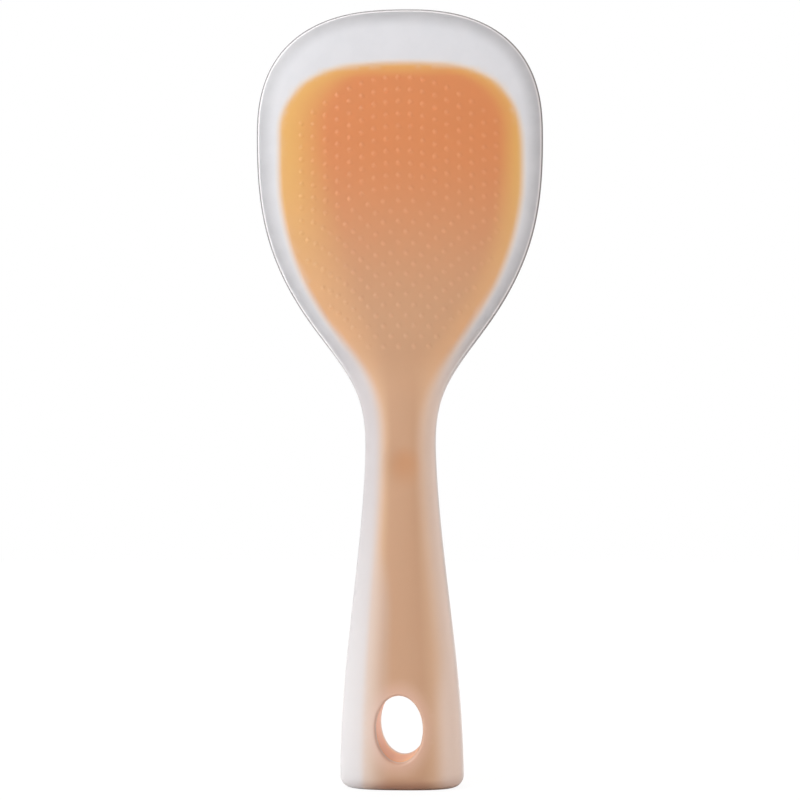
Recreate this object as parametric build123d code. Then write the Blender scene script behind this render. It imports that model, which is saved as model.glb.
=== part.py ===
from build123d import *
from math import ceil, copysign, cos, radians, sin
import os

# A self-standing rice paddle: a stiff moulded core inside a soft translucent silicone skin.
# All sizes are in millimetres. The paddle stands on its foot: +Z runs up to the blade's tip,
# the face that scoops looks along -Y, and the origin is the centre of the flat foot.

# Overall form of the skin; the crown is the blade above its widest place
length = 205.0
crown_height = 34.0
neck_height = 86.0
blade_width = 75.8
neck_width = 18.8
base_width = 32.6
blade_thickness = 4.2
neck_depth = 12.4
base_depth = 20.0
foot_edge_radius = 3.0

# How far the core's edge lies inside the skin's outline, seen from the front
tip_rim = 13.7
blade_rim = 6.2
neck_rim = 3.7
base_rim = 5.4

# How much silicone covers the core's faces, and how much lies under its lower end
blade_skin = 1.0
neck_skin = 2.2
base_skin = 2.6
foot_skin = 3.0
core_edge_radius = 1.5

# Hanging hole through skin and core
hole_width = 12.4
hole_length = 17.5
hole_height = 16.1
hole_lip_radius = 0.8

# Shallow thumb rest on the front of the neck
thumb_width = 10.6
thumb_length = 13.0
thumb_depth = 0.7
thumb_drop = 1.8

# Raised dots on the front, where the core lies behind them with the inset to spare.
# Above they stand in straight columns, whose rows arch down to the sides; below they are staggered.
dot_radius = 0.75
dot_crown_radius = 0.4
dot_height = 0.3
dot_root = 0.35
dot_inset = 3.0
column_pitch = 3.22
row_pitch = 3.22
staggered_pitch = 4.0
staggered_row_pitch = 2.75
dots_top_drop = 18.1
dots_bottom_rise = 30.0
arch_radius = 28.0
arch_fade = 24.0

# How far a cutting form reaches past what it cuts
overrun = 5.0

# Height of the blade's widest place, below the crown
widest_height = length - crown_height

# The blade's top is a superellipse of this power, and the level sections are as full as one.
power = 2.5
fullness_share = 0.688

# Corners of a dot, and how far up the dotted height its rows are staggered
dot_corners = 6
staggered_share = 0.564

# Sections from the foot to the neck: share of the height, of the flare in width, and in depth
handle_shares = [
    (0, 1, 1),
    (0.1, 0.985, 0.97),
    (0.35, 0.785, 0.8),
    (0.68, 0.33, 0.4),
    (1, 0, 0),
]

# Sections from the neck to the widest place: share of the height, of the spread, of the depth
shoulder_shares = [
    (0.22, 0.09, 0.65),
    (0.43, 0.515, 0.29),
    (0.66, 0.87, 0.09),
    (1, 1, 0),
]

# Sections from the widest place over the blade's top, as angles round the superellipse
top_angles = [28, 52, 72, 84]


def rounded(value):
    """A sine or cosine bent from a circle's to the superellipse's."""
    return value ** (2 / power)


def section(half_width, half_depth, height):
    """A level oval of four smooth quarters, fuller than an ellipse by the fullness share."""
    corners = [(half_width, 0), (0, half_depth), (-half_width, 0), (0, -half_depth)]
    quarters = []
    for (x0, y0), (x1, y1) in zip(corners, corners[1:] + corners[:1]):
        leaving = (x0 + fullness_share * x1, y0 + fullness_share * y1, height)
        arriving = (x1 + fullness_share * x0, y1 + fullness_share * y0, height)
        quarters.append(Bezier((x0, y0, height), leaving, arriving, (x1, y1, height)))
    return make_face(Wire(quarters))


def paddle_form(foot, base, neck, blade, top):
    """One smooth body lofted from the foot to the tip.

    foot and top are heights; base, neck and blade are (half width, half depth) pairs.
    """
    sections = []
    for rise, flare, swell in handle_shares:
        half_width = neck[0] + flare * (base[0] - neck[0])
        half_depth = neck[1] + swell * (base[1] - neck[1])
        sections.append(section(half_width, half_depth, foot + rise * (neck_height - foot)))
    for rise, spread, swell in shoulder_shares:
        half_width = neck[0] + spread * (blade[0] - neck[0])
        half_depth = blade[1] + swell * (neck[1] - blade[1])
        sections.append(section(half_width, half_depth, neck_height + rise * (widest_height - neck_height)))
    for angle in top_angles:
        inward = rounded(cos(radians(angle)))
        upward = rounded(sin(radians(angle)))
        height = widest_height + upward * (top - widest_height)
        sections.append(section(blade[0] * inward, blade[1] * inward, height))
    return loft(sections + [Vertex(0, 0, top)])


def hanging_hole():
    """The oval bar that leaves the hanging hole, through the whole depth of the handle."""
    oval = Plane.XZ * Pos(0, hole_height) * Ellipse(hole_width / 2, hole_length / 2)
    return extrude(oval, base_depth / 2 + overrun, both=True)


def hole_lips(body):
    """The curved edges where the hanging hole comes out of the skin's faces."""
    reach = hole_width / 2 + hole_lip_radius
    rise = hole_length / 2 + hole_lip_radius
    lips = []
    for edge in body.edges().filter_by(GeomType.LINE, reverse=True):
        box = edge.bounding_box()
        beside = -reach < box.min.X and box.max.X < reach
        level = hole_height - rise < box.min.Z and box.max.Z < hole_height + rise
        if beside and level:
            lips.append(edge)
    return lips


def thumb_rest():
    """An egg-shaped tool that presses a shallow oval into the front of the neck."""
    # A ball whose cap of the wanted depth is as wide as the rest, stretched to the rest's length
    ball_radius = (thumb_width**2 / 4 + thumb_depth**2) / (2 * thumb_depth)
    egg = scale(Sphere(ball_radius), by=(1, 1, thumb_length / thumb_width))
    return Pos(0, thumb_depth - neck_depth / 2 - ball_radius, neck_height - thumb_drop) * egg


def dot_rows():
    """The rows of dots as (level at the middle, pitch across, sideways shift, arch's share)."""
    top = length - dots_top_drop
    bottom = neck_height + dots_bottom_rise
    change = bottom + staggered_share * (top - bottom)
    rows = []
    for step in range(ceil((change - bottom) / staggered_row_pitch)):
        rise = step * staggered_row_pitch
        rows.append((bottom + rise, staggered_pitch, step % 2 * staggered_pitch / 2, min(1, rise / arch_fade)))
    for step in range(ceil((top - change) / row_pitch)):
        rows.append((top - step * row_pitch, column_pitch, 0, 1))
    return rows


def lies_behind(body, x, z):
    """Whether a line from front to back at this place meets the body."""
    return bool(body.find_intersection_points(Axis((x, -base_depth, z), (0, 1, 0))))


def dot_places(core_blank):
    """Where the dots stand, as (x, z)."""
    places = []
    for level, pitch, shift, arch_share in dot_rows():
        count = int(blade_width / 2 / pitch)
        for step in range(-count, count + 1):
            x = step * pitch + shift
            z = level - arch_share * x**2 / (2 * arch_radius)
            outward = x + copysign(dot_inset, x)
            if lies_behind(core_blank, outward, z) and lies_behind(core_blank, x, z + dot_inset):
                places.append((x, z))
    return places


def raised_dots(skin, places):
    """Studs that taper from their root inside the skin to a flat crown in front of it."""
    dots = []
    for x, z in places:
        surface = skin.find_intersection_points(Axis((x, -base_depth, z), (0, 1, 0)))[0][0]
        root = Plane((x, surface.Y + dot_root, z), z_dir=-Axis.Y.direction)
        crown = Plane((x, surface.Y - dot_height, z), z_dir=-Axis.Y.direction)
        polygons = [
            root * RegularPolygon(dot_radius, dot_corners),
            crown * RegularPolygon(dot_crown_radius, dot_corners),
        ]
        dots.append(loft(polygons, ruled=True))
    return dots


def make_core_blank():
    """The core before its hole: the skin's form drawn in by the rims and the skin's thickness."""
    base = (base_width / 2 - base_rim, base_depth / 2 - base_skin)
    neck = (neck_width / 2 - neck_rim, neck_depth / 2 - neck_skin)
    blade = (blade_width / 2 - blade_rim, blade_thickness / 2 - blade_skin)
    blank = paddle_form(foot_skin, base, neck, blade, length - tip_rim)
    return fillet(blank.edges().group_by(Axis.Z)[0], core_edge_radius)


def make_skin(core_blank):
    """The silicone's outside, pierced and pressed, then hollowed by the core it is moulded round."""
    base = (base_width / 2, base_depth / 2)
    neck = (neck_width / 2, neck_depth / 2)
    blade = (blade_width / 2, blade_thickness / 2)
    skin = paddle_form(0, base, neck, blade, length)
    skin = fillet(skin.edges().group_by(Axis.Z)[0], foot_edge_radius)
    skin -= hanging_hole()
    skin = fillet(hole_lips(skin), hole_lip_radius)
    skin -= thumb_rest()
    dots = raised_dots(skin, dot_places(core_blank))
    print("dots", len(dots))
    return (skin - core_blank).fuse(*dots)


def make_core(core_blank):
    """The stiff core, whose bare wall lines the hanging hole between the two skins."""
    return core_blank - hanging_hole()


core_blank = make_core_blank()
parts = {"silicone_body": make_skin(core_blank), "core": make_core(core_blank)}

os.makedirs("parts", exist_ok=True)
for name, part in parts.items():
    part.label = name
    export_step(part, f"parts/{name}.step")
    print(name, "solids", len(part.solids()), "volume", round(part.volume, 1), part.bounding_box().size)
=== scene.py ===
import math

import bpy
import numpy as np
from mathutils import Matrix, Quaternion, Vector
from mathutils.geometry import delaunay_2d_cdt


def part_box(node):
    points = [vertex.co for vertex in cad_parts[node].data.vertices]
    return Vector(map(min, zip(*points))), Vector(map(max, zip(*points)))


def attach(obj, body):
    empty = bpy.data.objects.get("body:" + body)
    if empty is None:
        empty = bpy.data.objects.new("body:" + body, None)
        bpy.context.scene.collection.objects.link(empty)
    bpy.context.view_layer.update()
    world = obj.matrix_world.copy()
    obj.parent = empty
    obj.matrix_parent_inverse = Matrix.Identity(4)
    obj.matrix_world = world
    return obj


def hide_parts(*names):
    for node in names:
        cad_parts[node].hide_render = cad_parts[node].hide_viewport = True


# A self-standing rice paddle: an orange plastic core in a frosted silicone skin with raised dots.
# Sizes are in millimetres and become metres where a mesh is made. +Z is up, -Y is the front.
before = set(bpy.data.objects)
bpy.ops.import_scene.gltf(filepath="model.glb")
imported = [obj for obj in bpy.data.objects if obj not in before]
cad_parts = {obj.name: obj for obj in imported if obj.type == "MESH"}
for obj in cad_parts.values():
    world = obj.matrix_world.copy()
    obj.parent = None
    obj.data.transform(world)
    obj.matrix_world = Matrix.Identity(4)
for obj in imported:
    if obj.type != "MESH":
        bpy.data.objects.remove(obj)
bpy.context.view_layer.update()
MM = 0.001

# Overall form of the skin, as the solids have it
skin_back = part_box("silicone_body")[1].y
length = 205.0
crown_height = 34.0
widest_height = length - crown_height
neck_height = 86.0
blade_width = 75.8
neck_width = 18.8
base_width = 32.6
blade_thickness = 4.2
neck_depth = 12.4
base_depth = 2 * skin_back / MM
foot_edge_radius = 3.0

# The core inside it: rims seen from the front, and silicone over its faces
tip_rim = 13.7
blade_rim = 6.2
neck_rim = 3.7
base_rim = 5.4
blade_skin = 1.0
neck_skin = 2.2
base_skin = 2.6
foot_skin = 3.0
core_edge_radius = 1.5

# Hanging hole, whose wall is the bare core, a hair proud of the silicone
hole_width = 12.4
hole_length = 17.5
hole_height = 16.1
hole_lip_radius = 0.8
core_lip_radius = 0.3
proud = 0.05

# Thumb rest on the front of the neck, deeper towards its upper edge
thumb_width = 10.6
thumb_length = 13.0
thumb_depth = 0.7
thumb_height = 84.2
thumb_lean = 0.6
thumb_bowl = 1.5

# Raised dots on the front: straight columns above, whose rows arch, and staggered rows below
dot_radius = 0.95
dot_height = 0.1
dot_inset = 3.0
column_pitch = 3.22
row_pitch = 3.22
staggered_pitch = 4.0
staggered_row_pitch = 2.75
dots_top_drop = 18.1
dots_bottom_rise = 30.0
staggered_share = 0.564
arch_radius = 28.0
arch_fade = 24.0
dots_top = length - dots_top_drop
dots_bottom = neck_height + dots_bottom_rise
dots_change = dots_bottom + staggered_share * (dots_top - dots_bottom)

# The level sections and the blade's top are superellipses of this power.
power = 2.5
handle_shares = [(0, 1, 1), (0.1, 0.985, 0.97), (0.35, 0.785, 0.8), (0.68, 0.33, 0.4), (1, 0, 0)]
shoulder_shares = [(0.22, 0.09, 0.65), (0.43, 0.515, 0.29), (0.66, 0.87, 0.09), (1, 1, 0)]

# Mesh density
columns = 128
row_step = 1.25
edge_rows = 8
top_rows = 44
oval_points = 72
lip_rows = 6
wall_rows = 7
sole_rings = (0.25, 0.5, 0.75)
dot_points = 12
dot_rings = (0.3, 0.55, 0.78, 1.0, 1.35)
outline_points = 250
outline_blocks = 60

# The blocks of the grid that are filled anew round the hole and the dots: how far they reach past
# them in height, and to either side as a share of the columns
hole_block_below = 0.5
hole_block_above = 3.0
hole_block_reach = 0.13
dots_block_margin = 3.0
dots_block_reach = 0.145

# The points that fill the blocks: their spacing, the height of a row as a share of it, and how far
# they keep off the block's loop (also a share), the hole's mouth with its outer ring, and the dots
mouth_spacing = 1.4
face_spacing = 1.5
fill_rise = 0.866
loop_gap = 0.6
mouth_gap = 0.8
mouth_ring = 0.9
dot_gap = 0.3
same_point = 1e-7

# Each pair from here on says where a change starts and where it is complete.

# Heights between which the silicone over the core thickens and the handle's look begins, and the
# shares of the half depth between which the back's look becomes the front's, which alone carries
# the painted light from the left
thickening = (175, 118)
handle_look = (125, 95)
front_look = (0.25, -0.25)

# How far the silicone spreads the glow past the core's outline on the blade, by height
spread_heights = [96, 110, 132, 156, 176, 184, 190]
spread_sizes = [0.0, -0.4, 0.5, 0.9, 0.1, -0.3, -0.6]

# How much further for each millimetre to the right, by painted light from the left, and how much
# further at the upper corners
spread_lean = 0.012
spread_lean_heights = (178, 168)
corner_spread = 0.5
corner_offsets = (8, 16)
corner_heights = (182, 186)

# How far the glow reaches out in the handle, and how painted light from the left draws it to the
# right there: by shares of the distance to the left and to the right, of which the foot takes some
# away on the right
handle_reach = 0.4
left_draw = 0.25
right_draw = 0.09
foot_draw = 0.13
foot_draw_heights = (36, 18)

# How soft the glow's border is, how much softer in the handle, and inside it low on the left, by
# painted light from the left
blade_blur = 1.8
handle_blur = 1.9
pale_blur = 10
pale_offsets = (0, -3)
pale_heights = (66, 46)

# Width of the yellow border on the blade, which narrows to the right by the leans, painted light
# from the left, and ends below the core's top, its share of the core's half width in the handle,
# and the middle's shift there, to the right by the same painted light
border_width = 11
border_lean = 0.18
left_lean = 0.3
left_lean_heights = (175, 135)
top_border = 5
handle_border = 0.55
handle_shift = 1.0

# The painted pale light round the hole, in half sizes of its oval, and how far right the painted
# shade in the thumb rest lies
mouth_light = (1.6, 1.05)
rest_shade_shift = 1.7

# The handle's right, warmer by painted light, its greyer upper part, and the painted shade along
# the middle of its sides, the last as shares of the half width and the half depth
right_flank = (-4, 10)
upper_flank = (10, 100)
side_widths = (0.8, 0.95)
side_depths = (0.5, 0.1)

# The painted shade along the foot's edge: what is left of it on the left, and what it loses on
# the right
foot_shade = (4.2, 0.6)
left_shade = 0.15
left_shade_offsets = (-14, -3)
right_shade_loss = 0.35
right_shade_offsets = (4, 13)

# How far in from the outline the rim's painted shade and the edge's painted highlight reach, and
# the core's lighter edge; how far past the hole its wall is painted; and the least half sizes of
# skin and core to divide by
rim_reach = 8.0
core_edge = 9
wall_margin = 0.2
least_skin = 0.1
least_core = 1.0

# Sizes of the patterns: clouds in the silicone, its moulded grain, and the core's mottling
cloud_size = 5.0
grain_size = 0.8
grain_depth = 0.05
mottle_size = 6.0


# The two forms


class Form:
    """One lofted form: its foot and top heights, edge rounding, and half sizes by height."""

    def __init__(self, foot, edge, base, neck, blade, top):
        """base, neck and blade are (half width, half depth) pairs, as in the solids."""
        self.foot, self.edge, self.top = foot, edge, top
        rows = []
        for rise, flare, swell in handle_shares:
            width = neck[0] + flare * (base[0] - neck[0])
            depth = neck[1] + swell * (base[1] - neck[1])
            rows.append((foot + rise * (neck_height - foot), width, depth))
        for rise, spread, swell in shoulder_shares:
            width = neck[0] + spread * (blade[0] - neck[0])
            depth = blade[1] + swell * (neck[1] - blade[1])
            rows.append((neck_height + rise * (widest_height - neck_height), width, depth))
        self.knots = np.array(rows)
        self.slopes = [spline_slopes(self.knots[:, 0], self.knots[:, k]) for k in (1, 2)]

    def half_sizes(self, z):
        """Half width and half depth at height z.

        Up to the widest place: cubic pieces through the knots. Above it the outline is a
        superellipse, so both shrink by (1 - t^power)^(1/power), t being the share of the rise.
        Next to the foot both lose what a quarter circle of the edge's radius takes off.
        """
        z = np.asarray(z, float)
        low = np.clip(z, self.foot, widest_height)
        heights, widths, depths = self.knots.T
        width = cubic_pieces(low, heights, widths, self.slopes[0])
        depth = cubic_pieces(low, heights, depths, self.slopes[1])
        rise = np.clip((z - widest_height) / (self.top - widest_height), 0, 1)
        half = np.stack([width, depth]) * (1 - rise**power) ** (1 / power)
        below = np.clip(self.foot + self.edge - z, 0, self.edge)
        return half - (self.edge - np.sqrt(self.edge**2 - below**2))

    def depth_at(self, x, z):
        """How far the surface stands from the middle plane: d (1 - |x/w|^power)^(1/power)."""
        width, depth = self.half_sizes(z)
        share = np.clip(np.abs(x) / np.maximum(width, 1e-9), 0, 1)
        return depth * (1 - share**power) ** (1 / power)


def spline_slopes(knots, values):
    """Slopes of the smoothest cubic pieces through the values, level at both ends."""
    count = len(knots)
    steps = np.diff(knots)
    chords = np.diff(values) / steps
    system = np.eye(count)
    wanted = np.zeros(count)
    inner = np.arange(1, count - 1)
    system[inner, inner - 1] = 1 / steps[:-1]
    system[inner, inner] = 2 / steps[:-1] + 2 / steps[1:]
    system[inner, inner + 1] = 1 / steps[1:]
    wanted[inner] = 3 * (chords[:-1] / steps[:-1] + chords[1:] / steps[1:])
    return np.linalg.solve(system, wanted)


def cubic_pieces(x, knots, values, slopes):
    """Hermite cubic: two values and two slopes blended over each step between knots."""
    piece = np.clip(np.searchsorted(knots, x) - 1, 0, len(knots) - 2)
    step = knots[piece + 1] - knots[piece]
    t = (x - knots[piece]) / step
    start = values[piece] * (1 + 2 * t) * (1 - t) ** 2 + values[piece + 1] * t**2 * (3 - 2 * t)
    return start + step * (slopes[piece] * t * (1 - t) ** 2 - slopes[piece + 1] * t**2 * (1 - t))


def skin_form():
    """The outside of the silicone."""
    base = (base_width / 2, base_depth / 2)
    neck = (neck_width / 2, neck_depth / 2)
    return Form(0, foot_edge_radius, base, neck, (blade_width / 2, blade_thickness / 2), length)


def core_form():
    """The core: the skin's form drawn in by the rims and by the silicone over its faces."""
    base = (base_width / 2 - base_rim, base_depth / 2 - base_skin)
    neck = (neck_width / 2 - neck_rim, neck_depth / 2 - neck_skin)
    blade = (blade_width / 2 - blade_rim, blade_thickness / 2 - blade_skin)
    return Form(foot_skin, core_edge_radius, base, neck, blade, length - tip_rim)


# What stands on the faces


def thumb_dent(x, z):
    """Depth of the thumb rest: a bowl over an oval, deeper towards its upper edge.

    (1 - r^2)^thumb_bowl, r being 1 on the oval, times 1 + thumb_lean t, t being 1 at its top.
    """
    across = x / (thumb_width / 2)
    along = (z - thumb_height) / (thumb_length / 2)
    inside = np.clip(1 - across**2 - along**2, 0, 1)
    return thumb_depth * inside**thumb_bowl * (1 + thumb_lean * along)


def dot_places(core):
    """Centres of the raised dots as x and z, where the core lies behind with the inset to spare.

    A row at level h droops as z = h - a x^2 / (2 arch_radius); up the lower rows a grows to 1.
    """
    rows = []
    for level in np.arange(dots_bottom, dots_change, staggered_row_pitch):
        shift = len(rows) % 2 * staggered_pitch / 2
        rows.append((level, staggered_pitch, shift, min(1, (level - dots_bottom) / arch_fade)))
    rows += [(level, column_pitch, 0, 1) for level in np.arange(dots_top, dots_change, -row_pitch)]
    places = []
    for level, pitch, shift, arch_share in rows:
        count = int(blade_width / 2 / pitch)
        x = np.arange(-count, count + 1) * pitch + shift
        places.append(np.stack([x, level - arch_share * x**2 / (2 * arch_radius)], axis=-1))
    x, z = np.concatenate(places).T
    beside = np.abs(x) + dot_inset < core.half_sizes(z)[0]
    above = (np.abs(x) < core.half_sizes(z + dot_inset)[0]) & (z + dot_inset < core.top)
    return np.stack([x, z], axis=-1)[beside & above]


# Meshes


class Surface:
    """Points, triangles and quads that grow as parts of a skin are added."""

    def __init__(self):
        self.points, self.faces, self.total = [], [], 0

    def add(self, points):
        """Adds points and returns their numbers in the same layout, without the last axis."""
        numbers = self.total + np.arange(points[..., 0].size).reshape(points.shape[:-1])
        self.points.append(points.reshape(-1, 3))
        self.total += numbers.size
        return numbers

    def places(self, numbers):
        """The points with these numbers."""
        return np.concatenate(self.points)[numbers]

    def quads(self, numbers, keep=None):
        """Quads of a grid of point numbers, whose last column joins the first."""
        numbers = np.concatenate([numbers, numbers[:, :1]], axis=1)
        corners = [numbers[:-1, :-1], numbers[:-1, 1:], numbers[1:, 1:], numbers[1:, :-1]]
        cells = np.stack(corners, axis=-1)
        cells = cells.reshape(-1, 4) if keep is None else cells[keep]
        self.faces.extend(cells.tolist())

    def fan(self, ring, centre):
        """Triangles from a closed ring to one point."""
        around = [ring, np.roll(ring, -1), np.full_like(ring, centre)]
        self.faces.extend(np.stack(around, axis=-1).tolist())

    def patch(self, loop, ring, inner, front):
        """Fills from a loop in to a ring, over inner points, by Delaunay triangles in x and z."""
        numbers = np.concatenate([loop, ring, inner]).astype(int)
        flat = self.places(numbers)[:, [0, 2]]
        start = len(loop)
        edges = [(k, (k + 1) % start) for k in range(start)]
        edges += [(start + k, start + (k + 1) % len(ring)) for k in range(len(ring))]
        result = delaunay_2d_cdt([Vector(p) for p in flat], edges, [], 1, same_point)
        original = np.array([found[0] for found in result[3]])
        triangles = original[np.array(result[2])]
        middles = flat[triangles].mean(axis=1)
        if len(ring):
            triangles = triangles[~inside_loop(middles, flat[start : start + len(ring)])]
        corners = flat[triangles]
        side, other = corners[:, 1] - corners[:, 0], corners[:, 2] - corners[:, 0]
        turn = side[:, 0] * other[:, 1] - side[:, 1] * other[:, 0]
        wrong = (turn < 0) == front
        triangles[wrong] = triangles[wrong][:, ::-1]
        self.faces.extend(numbers[triangles].tolist())


def section_turns():
    """Cosine and sine round a section, bent so that they trace a superellipse."""
    angles = np.arange(columns) * 2 * math.pi / columns
    cosines, sines = np.cos(angles), np.sin(angles)
    bend = 2 / power
    return np.sign(cosines) * np.abs(cosines) ** bend, np.sign(sines) * np.abs(sines) ** bend


def row_heights(form):
    """Heights of the rows: dense on the rounded foot, even up the body, dense over the top."""
    turn = np.linspace(0, math.pi / 2, edge_rows)
    foot = form.foot + form.edge * (1 - np.cos(turn))
    body = np.linspace(foot[-1], widest_height, int((widest_height - foot[-1]) / row_step))
    turn = np.linspace(0, math.pi / 2, top_rows)
    top = widest_height + (form.top - widest_height) * np.sin(turn) ** (2 / power)
    return np.concatenate([foot, body[1:], top[1:-1]])


def oval(widen):
    """Points round the hanging hole's oval, widened by so much, as x and z."""
    angles = np.arange(oval_points) * 2 * math.pi / oval_points
    x = (hole_width / 2 + widen) * np.cos(angles)
    z = hole_height + (hole_length / 2 + widen) * np.sin(angles)
    return np.stack([x, z], axis=-1)


def cut_block(numbers, keep, heights, span, reach, front):
    """Leaves out a block of the grid on one face and returns the closed loop round it."""
    first_row, last_row = np.searchsorted(heights, span)
    middle = columns * 3 // 4 if front else columns // 4
    half = int(columns * reach)
    left, right = middle - half, middle + half
    keep[first_row:last_row, left:right] = False
    bottom = numbers[first_row, left:right]
    rising = numbers[first_row:last_row, right]
    top = numbers[last_row, right:left:-1]
    falling = numbers[last_row:first_row:-1, left]
    return np.concatenate([bottom, rising, top, falling])


def inside_loop(points, loop):
    """Even-odd test: how many of the loop's sides a ray to the right of each point crosses."""
    start, end = loop, np.roll(loop, -1, axis=0)
    x, z = points[:, :1], points[:, 1:]
    crosses = (start[:, 1] > z) != (end[:, 1] > z)
    rise = np.where(start[:, 1] == end[:, 1], 1, end[:, 1] - start[:, 1])
    at = start[:, 0] + (z - start[:, 1]) * (end[:, 0] - start[:, 0]) / rise
    return (crosses & (x < at)).sum(axis=1) % 2 == 1


def lattice(loop, spacing, avoid, gap):
    """Points in a triangular pattern inside a loop, clear of it and of the points to avoid."""
    low, high = loop.min(axis=0), loop.max(axis=0)
    rows = np.arange(low[1], high[1], spacing * fill_rise)
    x, z = np.meshgrid(np.arange(low[0], high[0], spacing), rows)
    x = x + np.arange(len(z))[:, None] % 2 * spacing / 2
    points = np.stack([x, z], axis=-1).reshape(-1, 2)
    points = points[inside_loop(points, loop)]
    for others, distance in ((loop, spacing * loop_gap), (avoid, gap)):
        away = np.linalg.norm(points[:, None] - others, axis=2).min(axis=1)
        points = points[away > distance]
    return points


def hole_mouth(surface, form, loop, lip, widen, front):
    """The hole's rounded lip and the face about it; returns the ring of points inside the lip.

    The lip is a quarter circle: its radius times 1 - sin outwards, and times 1 - cos inwards.
    """
    side = -1 if front else 1
    rings = []
    for turn in np.linspace(0, math.pi / 2, lip_rows):
        x, z = oval(widen + lip * (1 - math.sin(turn))).T
        y = form.depth_at(x, z) - lip * (1 - math.cos(turn))
        rings.append(np.stack([x, side * y, z], axis=-1))
    numbers = surface.add(np.array(rings))
    surface.quads(numbers if front else numbers[::-1])
    around = oval(widen + lip + mouth_ring)[::2]
    avoid = np.concatenate([around, oval(widen + lip), oval(widen), [[0, hole_height]]])
    fill = lattice(surface.places(loop)[:, [0, 2]], mouth_spacing, avoid, mouth_gap)
    hidden = inside_loop(fill, oval(widen))
    x, z = np.concatenate([around, fill[~hidden]]).T
    inner = surface.add(np.stack([x, side * form.depth_at(x, z), z], axis=-1))
    surface.patch(loop, numbers[0], inner, front)
    return numbers[-1]


def dotted_face(surface, form, loop, dots):
    """The blade's front with its dots: domes h (1 - s^2)^2, s being the share of the radius."""
    angles = np.arange(dot_points) * 2 * math.pi / dot_points
    circle = dot_radius * np.stack([np.cos(angles), np.sin(angles)], axis=-1)
    flat, rises = [dots], [np.full(len(dots), dot_height)]
    for share in dot_rings:
        flat.append((dots[:, None] + share * circle).reshape(-1, 2))
        rises.append(np.full(len(dots) * dot_points, dot_height * max(0, 1 - share**2) ** 2))
    clear = dot_radius * dot_rings[-1] + dot_gap
    fill = lattice(surface.places(loop)[:, [0, 2]], face_spacing, dots, clear)
    x, z = np.concatenate([*flat, fill]).T
    rise = np.concatenate([*rises, np.zeros(len(fill))])
    inner = surface.add(np.stack([x, -form.depth_at(x, z) - rise, z], axis=-1))
    surface.patch(loop, [], inner, True)


def moulding(name, form, lip, widen, dots, dented):
    """A lofted piece with a rounded foot and the hanging hole, and if wanted dots and thumb rest.

    Each row is a level superellipse: half width times cosine, half depth times sine, both bent.
    """
    surface = Surface()
    heights = row_heights(form)
    cosines, sines = section_turns()
    widths, depths = form.half_sizes(heights)[:, :, None]
    x, y = widths * cosines, depths * sines
    z = np.broadcast_to(heights[:, None], x.shape)
    if dented:
        y = y + np.where(y < 0, thumb_dent(x, z), 0)
    numbers = surface.add(np.stack([x, y, z], axis=-1))
    keep = np.ones((len(heights) - 1, columns), bool)
    bottom = form.foot + form.edge + hole_block_below
    span = [bottom, hole_height + hole_length / 2 + hole_block_above]
    mouths = []
    for front in (True, False):
        loop = cut_block(numbers, keep, heights, span, hole_block_reach, front)
        mouths.append(hole_mouth(surface, form, loop, lip, widen, front))
    if len(dots):
        span = [dots_bottom - dots_block_margin, dots_top + dots_block_margin]
        loop = cut_block(numbers, keep, heights, span, dots_block_reach, True)
        dotted_face(surface, form, loop, dots)
    surface.quads(numbers, keep)
    ends = surface.places(np.array(mouths))
    shares = np.linspace(0, 1, wall_rows)[1:-1, None, None]
    wall = surface.add(ends[0] * (1 - shares) + ends[1] * shares)
    surface.quads(np.concatenate([mouths[:1], wall, mouths[1:]]))
    tip = surface.add(np.array([[0, 0, form.top]]))
    surface.fan(numbers[-1], tip[0])
    outline = surface.places(numbers[0])
    sole = surface.add(np.array([outline * [share, share, 1] for share in sole_rings]))
    surface.quads(np.concatenate([sole, numbers[:1]]))
    middle = surface.add(np.array([[0, 0, form.foot]]))
    surface.fan(sole[0, ::-1], middle[0])
    return piece(name, np.concatenate(surface.points), surface.faces)


def piece(name, points, faces):
    """A smooth mesh object made of the points that the faces use."""
    used = np.unique(np.concatenate([np.array(face) for face in faces]))
    renumber = np.full(len(points), -1)
    renumber[used] = np.arange(len(used))
    mesh = bpy.data.meshes.new(name)
    mesh.from_pydata((points[used] * MM).tolist(), [], [renumber[face].tolist() for face in faces])
    mesh.polygons.foreach_set("use_smooth", np.ones(len(mesh.polygons), bool))
    item = bpy.data.objects.new(name, mesh)
    bpy.context.scene.collection.objects.link(item)
    return item


def mesh_points(item):
    """The object's points in millimetres."""
    flat = np.zeros(len(item.data.vertices) * 3)
    item.data.vertices.foreach_get("co", flat)
    return flat.reshape(-1, 3) / MM


def paint(item, name, values):
    """Stores one number for each point, for a material to read."""
    layer = item.data.attributes.new(name, "FLOAT", "POINT")
    layer.data.foreach_set("value", np.clip(values, 0, 1).astype(np.float32))


def between(value, start, end):
    """Smoothstep 3t^2 - 2t^3, where t goes from 0 at the start to 1 at the end."""
    t = np.clip((value - start) / (end - start), 0, 1)
    return t * t * (3 - 2 * t)


def inward(form, x, z):
    """Distance in from a form's outline, seen from the front: negative outside, open at the foot.

    It is measured square to the outline's direction at the nearest of its points.
    """
    turn = np.linspace(0, math.pi / 2, outline_points)
    crown = widest_height + (form.top - widest_height) * np.sin(turn) ** (2 / power)
    side = np.linspace(form.foot + form.edge, widest_height, outline_points)
    heights = np.concatenate([side, crown])
    outline = np.stack([form.half_sizes(heights)[0], heights], axis=-1)
    along = np.gradient(outline, axis=0)
    along = along / np.linalg.norm(along, axis=1)[:, None]
    z = np.maximum(z, form.foot + form.edge)
    points = np.stack([np.abs(x), z], axis=-1)
    blocks = np.array_split(points, outline_blocks)
    nearest = [np.linalg.norm(block[:, None] - outline, axis=2).argmin(axis=1) for block in blocks]
    nearest = np.concatenate(nearest)
    offset, direction = points - outline[nearest], along[nearest]
    away = np.abs(offset[:, 0] * direction[:, 1] - offset[:, 1] * direction[:, 0])
    return np.where(np.abs(x) < form.half_sizes(z)[0], away, -away)


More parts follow.
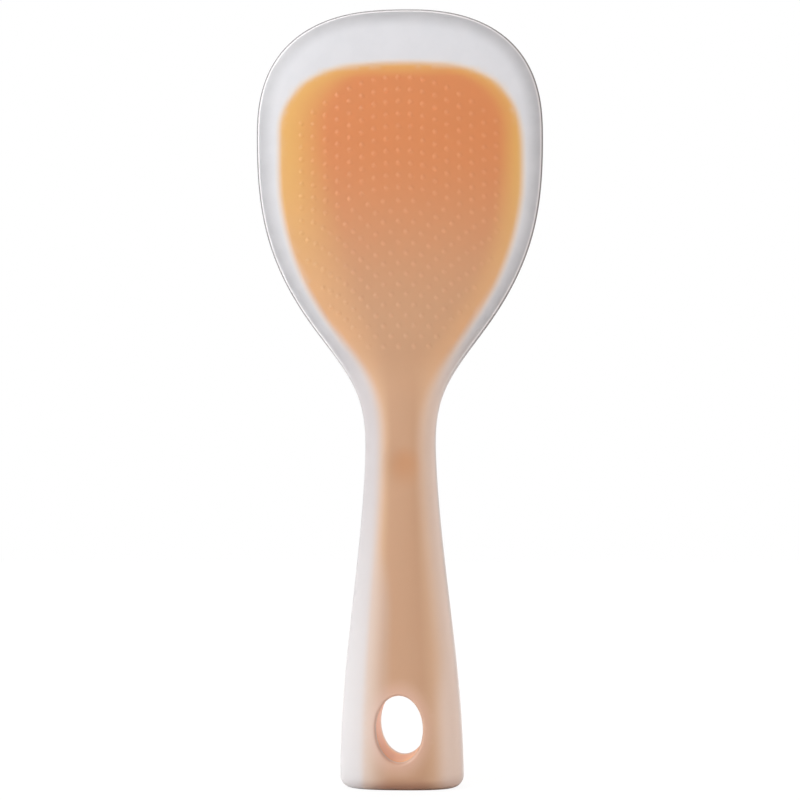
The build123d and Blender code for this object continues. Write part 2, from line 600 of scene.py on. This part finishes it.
def glow_reach(core, x, z, side, handle):
    """How much the core glows through the silicone, from 0 to 1.

    It is the distance in from the core's outline, plus the spread on the blade and the draw in the
    handle, divided by the blur, and runs smoothly from 0 at -1 by a half at 0 to 1 at 1. The lean
    of the spread, the draw and the softer blur low on the left are painted light from the left.
    """
    spread = np.interp(z, spread_heights, spread_sizes)
    # Painted light from the left: the glow spreads further on the right
    spread = spread + spread_lean * x * between(z, *spread_lean_heights)
    corner = between(np.abs(x), *corner_offsets) * between(z, *corner_heights)
    spread = spread + corner_spread * corner
    # Painted light from the left draws the glow in the handle to the right
    right = right_draw - foot_draw * between(z, *foot_draw_heights)
    draw = handle_reach + side * np.where(x < 0, left_draw, right)
    depth = inward(core, x, z) + spread * (1 - handle) + draw * handle
    blur = blade_blur + handle_blur * handle
    # Painted light from the left softens the glow low on the left
    pale = between(side, *pale_offsets) * between(z, *pale_heights)
    return between(depth / np.where(depth < 0, blur, blur + pale_blur * pale), -1, 1)


def glow_centre(core, x, z, side, handle):
    """How far a point is from the glow's yellow border towards its middle, from 0 to 1.

    It grows over the border's width in from the core's sides, and down from the core's top.
    """
    half_width = core.half_sizes(z)[0]
    room = np.maximum(half_width, least_core)
    # Painted light from the left: the yellow border is wider on the left, and in the handle its
    # middle lies to the right
    lean = border_lean + np.where(x < 0, left_lean * between(z, *left_lean_heights), 0)
    border = np.minimum(border_width - side * lean, room)
    border = border + handle * (handle_border * room - border)
    beside = half_width - np.abs(x - handle_shift * handle)
    return between(beside, 0, border) * between(z, core.top, core.top - top_border)


def paint_skin(skin, form, core):
    """How the core glows through the silicone, and where the outline, dots, rest and hole are.

    On the front, painted light from the left draws the glow in the handle to the right, away from
    its paler left flank, and widens the blade's yellow border on the left. The back is even. The
    outline, dots, rest, hole and foot carry painted light and shade.
    """
    x, y, z = mesh_points(skin).T
    half_width, half_depth = np.maximum(form.half_sizes(z), least_skin)
    # Offset to the side, on the front only, where the painted light from the left lies
    side = x * between(y / half_depth, *front_look)
    handle = between(z, *handle_look)
    paint(skin, "thick", between(z, *thickening))
    paint(skin, "handle", handle)
    paint(skin, "over_core", glow_reach(core, x, z, side, handle))
    paint(skin, "inner", glow_centre(core, x, z, side, handle))
    paint(skin, "reach", inward(form, x, z) / rim_reach)

    # The handle's flanks and sides, with painted warm light on the right and painted shade along
    # the sides, the painted light round the hole's mouth and the painted shade in the thumb rest
    paint(skin, "right", between(side, *right_flank))
    paint(skin, "up", between(z, *upper_flank))
    sideways = between(np.abs(x) / half_width, *side_widths)
    paint(skin, "flank", handle * sideways * between(np.abs(y) / half_depth, *side_depths))
    around = np.hypot(x / (hole_width / 2), (z - hole_height) / (hole_length / 2))
    paint(skin, "mouth", between(around, *mouth_light))
    paint(skin, "rest", thumb_dent(x - rest_shade_shift, z) / thumb_depth * (y < 0))

    # How far a dot rises at each point, which the dots' painted highlight follows, and the painted
    # shade along the foot's edge
    rise = (-y - form.depth_at(x, z)) / dot_height
    paint(skin, "dot", np.where((z > dots_bottom - dots_block_margin) & (y < 0), rise, 0))
    shaded = left_shade + (1 - left_shade) * between(side, *left_shade_offsets)
    shaded = shaded * (1 - right_shade_loss * between(side, *right_shade_offsets))
    paint(skin, "foot", between(z, *foot_shade) * shaded)


def paint_core(item, core):
    """How far the core's points lie in from its outline, and which are on its hole's bare wall."""
    x, y, z = mesh_points(item).T
    paint(item, "inner", between(inward(core, x, z), 0, core_edge))
    across = x / (hole_width / 2 + wall_margin)
    along = (z - hole_height) / (hole_length / 2 + wall_margin)
    paint(item, "bare_wall", across**2 + along**2 < 1)


# Materials


def colour(code):
    """An sRGB hex colour as linear numbers."""
    channels = [int(code[k : k + 2], 16) / 255 for k in (1, 3, 5)]
    linear = [c / 12.92 if c <= 0.04045 else ((c + 0.055) / 1.055) ** 2.4 for c in channels]
    return (*linear, 1.0)


def node(tree, kind, inputs, **settings):
    """One shader node; inputs are values or other nodes' sockets, by name or number."""
    made = tree.nodes.new("ShaderNode" + kind)
    for key, value in settings.items():
        setattr(made, key, value)
    for key, value in inputs.items():
        if isinstance(value, bpy.types.NodeSocket):
            tree.links.new(value, made.inputs[key])
        else:
            made.inputs[key].default_value = value
    return made.outputs


def material(name):
    """An empty node material and its tree."""
    made = bpy.data.materials.new(name)
    made.use_nodes = True
    made.node_tree.nodes.clear()
    return made, made.node_tree


def silicone():
    """Frosted silicone rubber, moulded: milky where thick, glowing over the core, with painted
    light and shade.
    """
    made, tree = material("frosted_moulded_silicone")
    place = node(tree, "TexCoord", {})["Object"]

    # Shares from 0 to 1: those painted on the points, and soft clouds
    shares = {}
    painted = ["over_core", "inner", "thick", "handle", "reach", "right", "up"]
    for name in painted + ["flank", "mouth", "rest", "dot", "foot"]:
        shares[name] = node(tree, "Attribute", {}, attribute_name=name)["Fac"]
    clouds = {"Vector": place, "Scale": 1 / (cloud_size * MM), "Detail": 3.0}
    shares["cloud"] = node(tree, "TexNoise", clouds)["Fac"]

    # Shares worked out from them. Two entries are a product. Five are a smooth ramp: of what, from
    # which of its values to which, and what it gives at the two.
    steps = {
        "on_blade": ("handle", 0.0, 1.0, 1.0, 0.0),
        # Painted shade on the blade's rim, darker near the outline
        "painted_rim_shade": ("reach", 0.1, 0.65, 0.0, 1.0),
        "cloudy": ("cloud", 0.35, 0.65, 0.0, 0.08),
        # Painted shade in the thumb rest
        "painted_rest_shade": ("rest", 0.55),
        # Painted highlight on the dots, and milkier silicone where they stand thicker
        "dot_inside": ("dot", "inner"),
        "dot_milk_and_highlight": ("dot_inside", 0.09),
        # Painted pale light round the hole
        "painted_mouth_light": ("mouth", 0.4),
        "near_core": ("over_core", 0.0, 0.3, 0.0, 0.35),
        "halo": ("near_core", "on_blade"),
        "glowing": ("over_core", 0.05, 1.0, 0.0, 1.0),
        # Painted shade along the foot's edge
        "painted_foot_shade": ("foot", 0.6),
        # Painted highlight along the blade's edge, and painted shade in a fine line outside it
        "painted_edge_highlight_band": ("reach", 0.55 / rim_reach, 0.85 / rim_reach, 1.0, 0.0),
        "bead": ("painted_edge_highlight_band", "on_blade"),
        "painted_edge_shade_band": ("reach", 0.2 / rim_reach, 0.55 / rim_reach, 1.0, 0.0),
        "painted_edge_shade": ("painted_edge_shade_band", "on_blade"),
        # Painted shade along the middle of the handle's sides
        "painted_side_shade": ("flank", 0.45),
        "clear_face": ("over_core", 0.0, 1.0, 0.4, 0.3),
        "clear_blade": ("on_blade", 0.0, 1.0, 0.6, 1.0),
        "clear_skin": ("clear_face", "clear_blade"),
        "clear_bead": ("bead", 0.0, 1.0, 1.0, 0.2),
        "clear": ("clear_skin", "clear_bead"),
        "roughness": ("reach", 0.0, 0.12, 0.28, 0.34),
    }
    for name, (first, *others) in steps.items():
        if len(others) == 1:
            factors = {0: shares[first], 1: shares.get(others[0], others[0])}
            shares[name] = node(tree, "Math", factors, operation="MULTIPLY")["Value"]
        else:
            ends = dict(zip(["From Min", "From Max", "To Min", "To Max"], others))
            inputs = {"Value": shares[first], **ends}
            eased = node(tree, "MapRange", inputs, interpolation_type="SMOOTHSTEP")
            shares[name] = eased["Result"]

    # Colours laid over one another: a ground, then each share with the colour that it brings in
    layers = {
        # The clear rim of the blade, a little cloudy and darker near the outline by painted shade,
        # and the thick flanks of the handle, warmer on the right by painted light
        "rim": ["#B1B4B8", ("painted_rim_shade", "#CFD3D8"), ("cloudy", "#EEEEF2")],
        "flanks": ["#CFD0D2", ("up", "#BDBBBD"), ("right", "#DCCCC0")],
        "pale": ["rim", ("handle", "flanks")],
        # The core's glow: yellower towards its edge, greyer under thick silicone, with painted
        # shade in the thumb rest, a painted highlight and milkier silicone on the dots, and
        # painted light round the hole
        "border": ["#D5AA60", ("thick", "#D0A67C"), ("handle", "#CAAB8D")],
        "middle": ["#CC8553", ("thick", "#C09A78"), ("handle", "#B79477")],
        "even_glow": ["border", ("inner", "middle"), ("painted_rest_shade", "#B07C50")],
        "glow": ["even_glow", ("dot_milk_and_highlight", "#FFCBA8"), ("painted_mouth_light", "#DEBDB0")],
        # Then the painted shade along the foot's edge
        "lit": ["pale", ("halo", "#DCD3CC"), ("glowing", "glow"), ("painted_foot_shade", "#875848")],
        # The blade's edge: a painted highlight along it and outside it a fine line of painted
        # shade. Then the handle's sides, where no core lies near, with painted shade along their
        # middle
        "skin": ["lit", ("bead", "#D8D9DC"), ("painted_edge_shade", "#707072"), ("painted_side_shade", "#8F8F92")],
    }
    tints = {}
    for name, (ground, *covers) in layers.items():
        tint = tints[ground] if ground in tints else colour(ground)
        for share, cover in covers:
            over = tints[cover] if cover in tints else colour(cover)
            mixed = {"Fac": shares[share], "Color1": tint, "Color2": over}
            tint = node(tree, "MixRGB", mixed)["Color"]
        tints[name] = tint

    # The moulded grain, and the shader: clearest on the blade's rim, least clear along the painted
    # highlight at its edge
    grains = {"Vector": place, "Scale": 1 / (grain_size * MM), "Detail": 2.0}
    grain = node(tree, "TexNoise", grains)["Fac"]
    bump = node(tree, "Bump", {"Strength": 0.08, "Distance": grain_depth * MM, "Height": grain})
    look = {
        "Base Color": tints["skin"],
        "Roughness": shares["roughness"],
        "IOR": 1.41,
        "Transmission Weight": shares["clear"],
        "Normal": bump["Normal"],
    }
    body = node(tree, "BsdfPrincipled", look)["BSDF"]
    node(tree, "OutputMaterial", {"Surface": body})
    return made


def core_plastic():
    """Polypropylene, injection moulded: orange and smooth, a little lighter at the thin edges."""
    made, tree = material("moulded_orange_polypropylene")
    place = node(tree, "TexCoord", {})["Object"]
    mottles = {"Vector": place, "Scale": 1 / (mottle_size * MM), "Detail": 3.0}
    inner = node(tree, "Attribute", {}, attribute_name="inner")["Fac"]
    mottle = node(tree, "TexNoise", mottles)["Fac"]
    bare_wall = node(tree, "Attribute", {}, attribute_name="bare_wall")["Fac"]
    shade = colour("#EDB35C")
    for share, code in ((inner, "#E2864A"), (mottle, "#DE8850"), (bare_wall, "#E4A463")):
        mixed = {"Fac": share, "Color1": shade, "Color2": colour(code)}
        shade = node(tree, "MixRGB", mixed)["Color"]
    body = node(tree, "BsdfPrincipled", {"Base Color": shade, "Roughness": 0.4})["BSDF"]
    node(tree, "OutputMaterial", {"Surface": body})
    return made


def seen_by(tree, rays):
    """1 for the camera's rays and for the named kinds of rays, 0 for the others."""
    path = node(tree, "LightPath", {})
    seen = path["Is Camera Ray"]
    for ray in rays:
        seen = node(tree, "Math", {0: seen, 1: path[ray]}, operation="MAXIMUM")["Value"]
    return seen


def paper(name, rays, strength):
    """Plain white card that glows, by the strength, to the camera and the named kinds of rays."""
    made, tree = material(name)
    factors = {0: seen_by(tree, rays), 1: strength}
    seen = node(tree, "Math", factors, operation="MULTIPLY")["Value"]
    matt = node(tree, "BsdfDiffuse", {"Color": colour("#F4F4F4")})["BSDF"]
    glow = node(tree, "Emission", {"Color": colour("#FFFFFF"), "Strength": 1.0})["Emission"]
    mix = node(tree, "MixShader", {0: seen, 1: matt, 2: glow})["Shader"]
    node(tree, "OutputMaterial", {"Surface": mix})
    return made


# The object

skin_shape = skin_form()
core_shape = core_form()
dots = dot_places(core_shape)
skin = moulding("silicone_skin", skin_shape, hole_lip_radius, 0.0, dots, True)
paint_skin(skin, skin_shape, core_shape)
skin.data.materials.append(silicone())
core = moulding("orange_core", core_shape, core_lip_radius, -proud, [], False)
paint_core(core, core_shape)
core.data.materials.append(core_plastic())
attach(skin, "root")
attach(core, "root")
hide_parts("silicone_body")
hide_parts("core")

# The set

mirrored_rays = ["Is Glossy Ray", "Is Transmission Ray"]


def card(name, corners, made):
    """A flat sheet of card with four corners."""
    mesh = bpy.data.meshes.new(name)
    mesh.from_pydata(corners, [], [(0, 1, 2, 3)])
    item = bpy.data.objects.new(name, mesh)
    bpy.context.scene.collection.objects.link(item)
    mesh.materials.append(made)


def softbox(name, place, target, size, power_watts):
    """A square soft light that looks at its target."""
    light = bpy.data.lights.new(name, "AREA")
    light.size = size
    light.energy = power_watts
    item = bpy.data.objects.new(name, light)
    bpy.context.scene.collection.objects.link(item)
    item.location = place
    item.rotation_euler = (Vector(target) - Vector(place)).to_track_quat("-Z", "Y").to_euler()


def studio_light():
    """A studio that is bright on the left and warm on the right, and looks white by itself."""
    world = bpy.data.worlds.new("studio")
    bpy.context.scene.world = world
    world.use_nodes = True
    tree = world.node_tree
    tree.nodes.clear()
    way = node(tree, "TexCoord", {})["Generated"]
    across = node(tree, "SeparateXYZ", {"Vector": way})["X"]
    share = node(tree, "MapRange", {"Value": across, "From Min": -1, "From Max": 1})["Result"]
    seen = seen_by(tree, mirrored_rays)
    tint = colour("#E6E7EB")
    for part, code in ((share, "#C6A28C"), (seen, "#FFFFFF")):
        mixed = {"Fac": part, "Color1": tint, "Color2": colour(code)}
        tint = node(tree, "MixRGB", mixed)["Color"]
    sky = node(tree, "Background", {"Color": tint, "Strength": 1.0})["Background"]
    node(tree, "OutputWorld", {"Surface": sky})


floor_corners = [(-2, -2, 0), (2, -2, 0), (2, 2, 0), (-2, 2, 0)]
backdrop_corners = [(-2, 0.9, 0), (2, 0.9, 0), (2, 0.9, 2.2), (-2, 0.9, 2.2)]
card("floor", floor_corners, paper("white_floor", [], 0.93))
card("backdrop", backdrop_corners, paper("white_backdrop", mirrored_rays, 1.0))
studio_light()
softbox("overhead_key", (-0.9, -0.7, 0.9), (0, 0, 0.1), size=0.9, power_watts=7.6)
softbox("near_key", (-0.25, -0.28, 0.34), (0, 0, 0.15), size=0.22, power_watts=1.0)
softbox("left_edge", (-0.4, 0.12, 0.12), (0, 0, 0.1), size=0.3, power_watts=0.05)
softbox("right_edge", (0.4, 0.16, 0.12), (0, 0, 0.1), size=0.3, power_watts=0.35)
softbox("floor_light", (0, 0.55, 1.1), (0, 0.4, 0), size=1.0, power_watts=9)

# The camera, at the photograph's viewing angle
eye = (0.0539, -0.65, 0.1019)
looked_at = (-0.0001, 0, 0.1019)
tilt_degrees = -0.25
camera_data = bpy.data.cameras.new("camera")
camera_data.lens = 111.2
camera_data.sensor_width = 36
camera = bpy.data.objects.new("camera", camera_data)
bpy.context.scene.collection.objects.link(camera)
camera.location = eye
aim = (Vector(looked_at) - Vector(eye)).to_track_quat("-Z", "Y")
camera.rotation_euler = (aim @ Quaternion((0, 0, 1), math.radians(tilt_degrees))).to_euler()
bpy.context.scene.camera = camera
bpy.context.scene.view_settings.view_transform = "Standard"
